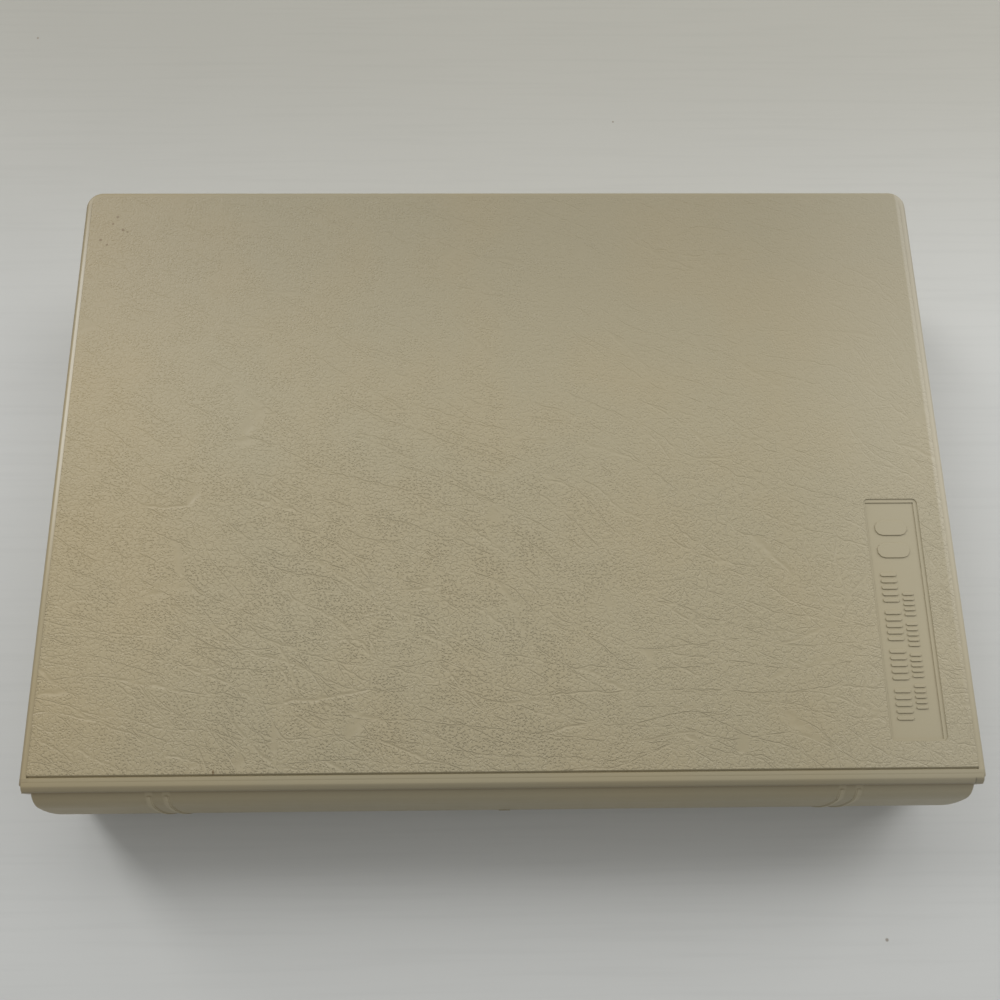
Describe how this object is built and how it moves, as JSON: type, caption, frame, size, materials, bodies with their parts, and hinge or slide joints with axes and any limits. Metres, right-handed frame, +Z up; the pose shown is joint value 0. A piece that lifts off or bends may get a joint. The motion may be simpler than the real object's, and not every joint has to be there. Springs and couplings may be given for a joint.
{
  "type": "floppy disk case",
  "caption": "Book-style hinged library case for 3.5 inch floppy disks, with a rounded spine, living hinges and leaning disk racks.",
  "frame": {"origin": "centre of the closed case's footprint on the table, under the grained back", "axes": "+X along the spine, +Y from the spine to the free edge, +Z up through the front cover"},
  "size_m": [0.203, 0.1476, 0.037],
  "materials": {
    "shell_plastic": "beige polypropylene with leather grain, smooth at the hinges and on the spine",
    "rack_plastic": "smooth satin beige polystyrene"
  },
  "bodies": {
    "base": {"back_shell": "shell_plastic", "right_disk_rack": "rack_plastic", "left_disk_rack": "rack_plastic", "lower_hinge_web": "shell_plastic"},
    "spine": {"spine_panel": "shell_plastic", "upper_hinge_web": "shell_plastic"},
    "cover": {"front_cover": "shell_plastic"}
  },
  "joints": [
    {"name": "spine_hinge", "type": "hinge", "parent": "base", "child": "spine", "pos_m": [0, -0.06908, 0.00093], "axis": [1, 0, 0], "range_deg": [0, 90], "deforming": ["lower_hinge_web"]},
    {"name": "cover_hinge", "type": "hinge", "parent": "spine", "child": "cover", "pos_m": [0, -0.06908, 0.03608], "axis": [1, 0, 0], "range_deg": [0, 90], "deforming": ["upper_hinge_web"]}
  ]
}
